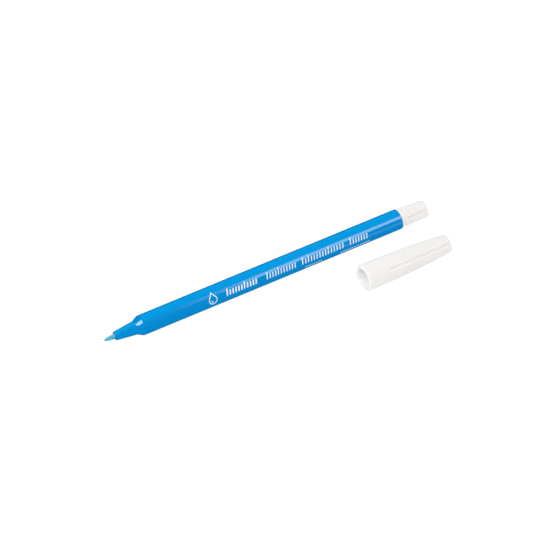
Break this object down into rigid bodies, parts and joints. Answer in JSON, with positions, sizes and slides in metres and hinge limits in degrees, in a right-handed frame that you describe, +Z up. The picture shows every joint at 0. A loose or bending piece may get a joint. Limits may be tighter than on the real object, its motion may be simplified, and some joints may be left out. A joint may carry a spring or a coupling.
{
  "type": "fabric marking pen",
  "caption": "Slim felt-nib fabric marking pen with a stepped nose and fluted end plug, lying on a table beside its tapered fluted cap.",
  "frame": {"origin": "middle of the part's box, on the table that the pen and cap lie on", "axes": "+X along the pen from its nib to its end plug, +Z up from the table, the cap lies on the -Y side"},
  "size_m": [0.1408, 0.0314, 0.0111],
  "materials": {
    "blue_barrel": "glossy moulded polypropylene, cyan blue",
    "felt_nib": "bonded polyester fibre soaked with aqua ink",
    "ink_fibre": "soft acrylic fibre rod holding aqua ink",
    "clear_film": "thin polypropylene film",
    "white_plug": "satin white moulded polypropylene",
    "white_cap": "satin white moulded polypropylene",
    "white_liner": "soft natural polyethylene"
  },
  "bodies": {
    "pen": {"barrel": "blue_barrel", "nib": "felt_nib", "ink_reservoir": "ink_fibre", "reservoir_wrap": "clear_film", "end_plug": "white_plug"},
    "cap": {"cap": "white_cap", "inner_cap": "white_liner"}
  },
  "joints": [
    {"name": "cap_pull", "type": "slide", "parent": "pen", "child": "cap", "axis": [1, 0, 0], "range_m": [0, 0.044]}
  ]
}
